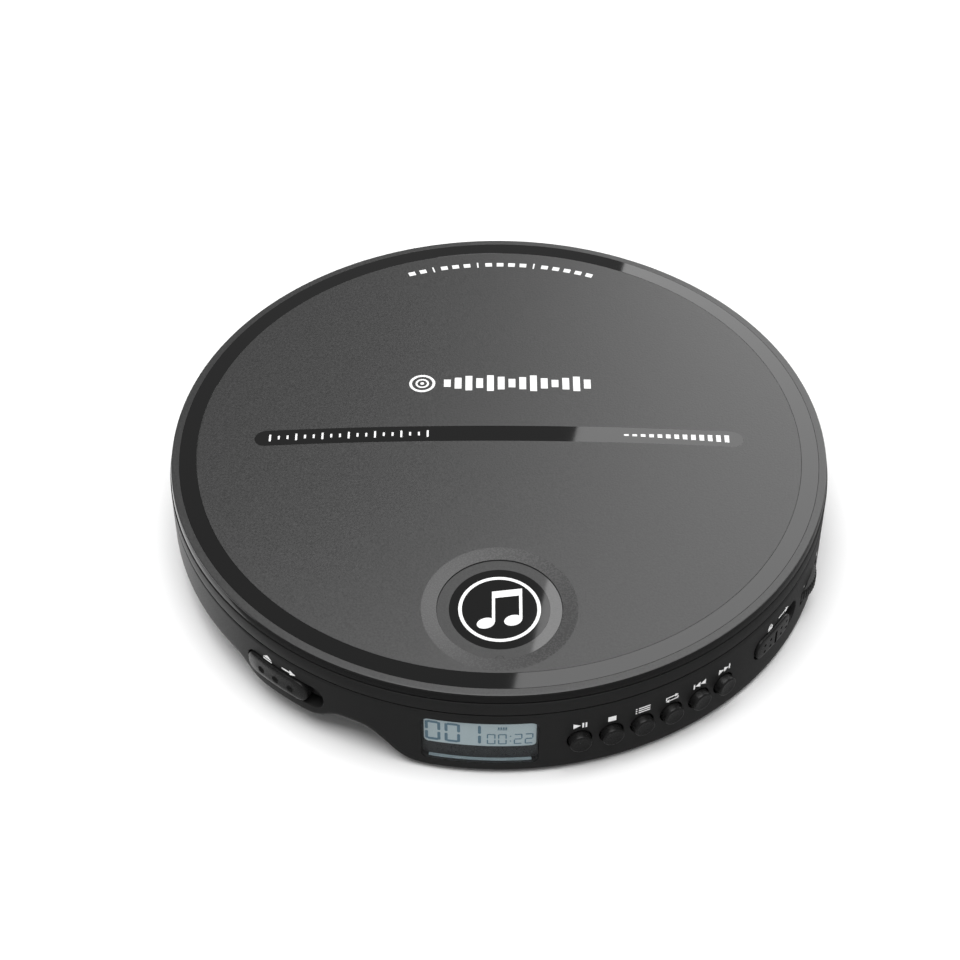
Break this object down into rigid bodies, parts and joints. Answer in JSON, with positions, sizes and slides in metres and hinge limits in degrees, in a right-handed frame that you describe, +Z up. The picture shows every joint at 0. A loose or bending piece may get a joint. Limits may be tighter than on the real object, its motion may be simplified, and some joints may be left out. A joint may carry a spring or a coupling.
{
  "type": "portable cd player",
  "caption": "Round portable compact-disc player with hinged domed lid, front display and keys, hold and open sliders, volume wheel and a working disc mechanism.",
  "frame": {"origin": "on the disc's spin axis at the level of the surface the rubber feet stand on", "axes": "+Z up through the disc axis, -Y towards the display and keys, +Y towards the lid hinge"},
  "size_m": [0.141, 0.1415, 0.027],
  "materials": {
    "lid_matte": "fine textured dark grey",
    "lid_gloss": "polished black",
    "cabinet_matte": "satin black",
    "tray_matte": "fine matte black",
    "lens_clear": "clear hard-coated window",
    "lcd_glass": "grey-green liquid crystal",
    "light_guide": "translucent white",
    "key_plastic": "satin black",
    "board_green": "solder mask",
    "chip_black": "moulded epoxy",
    "steel": "bright",
    "capacitor": "sleeved can",
    "rubber": "soft matte",
    "brass": "turned",
    "white_plastic": "self-lubricating nylon",
    "chassis_metal": "zinc plated",
    "turntable_black": "glass filled",
    "lens_optic": "coated optic",
    "emblem_gloss": "polished black",
    "ribbon_amber": "polyimide film"
  },
  "bodies": {
    "cabinet": {"upper_cabinet": "cabinet_matte", "hinge_pin": "steel", "disc_tray": "tray_matte", "lower_shell": "cabinet_matte", "lcd_window": "lens_clear", "lcd_module": "lcd_glass", "lcd_light_guide": "light_guide", "key_board": "board_green", "key_switches": "white_plastic", "hold_switch": "steel", "volume_pot": "chip_black", "headphone_jack": "chip_black", "line_out_jack": "chip_black", "dc_jack": "chip_black", "dc_centre_pin": "steel", "main_board": "board_green", "board_chips": "chip_black", "board_capacitors": "capacitor", "key_ribbon": "ribbon_amber", "battery_bay": "tray_matte", "battery_contacts": "steel", "battery_springs": "steel", "mechanism_chassis": "chassis_metal", "guide_rods": "steel", "mechanism_dampers": "rubber", "mechanism_screws": "steel", "spindle_motor": "chassis_metal", "sled_motor": "chassis_metal", "lid_switch": "chip_black", "case_screws": "steel", "rubber_feet": "rubber"},
    "lid": {"lid_shell": "lid_matte", "lid_latch_tongue": "lid_matte", "lid_gloss_ring": "lid_gloss", "lid_side_band": "lid_gloss", "lid_inner_panel": "tray_matte", "lid_strip_inlay": "lid_gloss", "emblem_ring": "emblem_gloss", "emblem_disc": "emblem_gloss"},
    "spindle": {"spindle_shaft": "steel", "turntable": "turntable_black", "hub_balls": "steel"},
    "sled": {"pickup_sled": "turntable_black", "screw_follower": "white_plastic", "lens_actuator": "chip_black", "objective_lens": "lens_optic"},
    "screw": {"lead_screw": "brass"},
    "open_slide": {"open_slider": "key_plastic", "open_latch_hook": "key_plastic", "open_return_spring": "steel"},
    "hold_slide": {"hold_slider": "key_plastic"},
    "volume": {"volume_wheel": "key_plastic"},
    "door": {"battery_door": "cabinet_matte"},
    "lid_plunger": {"lid_switch_plunger": "white_plastic"},
    "button_play": {"key_play": "key_plastic"},
    "button_stop": {"key_stop": "key_plastic"},
    "button_program": {"key_program": "key_plastic"},
    "button_mode": {"key_mode": "key_plastic"},
    "button_previous": {"key_previous": "key_plastic"},
    "button_next": {"key_next": "key_plastic"}
  },
  "joints": [
    {"name": "lid_hinge", "type": "hinge", "parent": "cabinet", "child": "lid", "pos_m": [0, 0.069, 0.02], "axis": [-1, 0, 0], "range_deg": [0, 70]},
    {"name": "disc_spin", "type": "hinge", "parent": "cabinet", "child": "spindle", "pos_m": [0, 0, 0.0193], "axis": [0, 0, 1], "continuous": true},
    {"name": "sled_travel", "type": "slide", "parent": "cabinet", "child": "sled", "axis": [-1, 0, 0], "range_m": [0, 0.033]},
    {"name": "lead_screw_spin", "type": "hinge", "parent": "cabinet", "child": "screw", "pos_m": [-0.04, -0.017, 0.012], "axis": [1, 0, 0], "range_deg": [0, 3960]},
    {"name": "open_slide_travel", "type": "hinge", "parent": "cabinet", "child": "open_slide", "pos_m": [0, 0, 0.011], "axis": [0, 0, 1], "range_deg": [0, 2.6], "stiffness_Nm_per_rad": 5, "springref_deg": -0.57},
    {"name": "hold_slide_travel", "type": "hinge", "parent": "cabinet", "child": "hold_slide", "pos_m": [0, 0, 0.0104], "axis": [0, 0, 1], "range_deg": [0, 2.9]},
    {"name": "volume_turn", "type": "hinge", "parent": "cabinet", "child": "volume", "pos_m": [0.05795, -0.02259, 0.0076], "axis": [0, 0, 1], "range_deg": [-135, 135]},
    {"name": "battery_door_hinge", "type": "hinge", "parent": "cabinet", "child": "door", "pos_m": [0, 0.0201, 0.00145], "axis": [-1, 0, 0], "range_deg": [0, 95]},
    {"name": "lid_switch_press", "type": "slide", "parent": "cabinet", "child": "lid_plunger", "axis": [0, 0, -1], "range_m": [0, 0.0008], "stiffness_N_per_m": 150, "springref_m": -0.0005},
    {"name": "play_press", "type": "slide", "parent": "cabinet", "child": "button_play", "axis": [-0.225, 0.9744, 0], "range_m": [0, 0.0008], "stiffness_N_per_m": 400, "springref_m": -0.0005},
    {"name": "stop_press", "type": "slide", "parent": "cabinet", "child": "button_stop", "axis": [-0.3156, 0.9489, 0], "range_m": [0, 0.0008], "stiffness_N_per_m": 400, "springref_m": -0.0005},
    {"name": "program_press", "type": "slide", "parent": "cabinet", "child": "button_program", "axis": [-0.4035, 0.915, 0], "range_m": [0, 0.0008], "stiffness_N_per_m": 400, "springref_m": -0.0005},
    {"name": "mode_press", "type": "slide", "parent": "cabinet", "child": "button_mode", "axis": [-0.4879, 0.8729, 0], "range_m": [0, 0.0008], "stiffness_N_per_m": 400, "springref_m": -0.0005},
    {"name": "previous_press", "type": "slide", "parent": "cabinet", "child": "button_previous", "axis": [-0.5693, 0.8221, 0], "range_m": [0, 0.0008], "stiffness_N_per_m": 400, "springref_m": -0.0005},
    {"name": "next_press", "type": "slide", "parent": "cabinet", "child": "button_next", "axis": [-0.6428, 0.766, 0], "range_m": [0, 0.0008], "stiffness_N_per_m": 400, "springref_m": -0.0005}
  ],
  "couplings": [
    {"joint": "lead_screw_spin", "follows": "sled_travel", "rad_per_m": 2094.2}
  ]
}
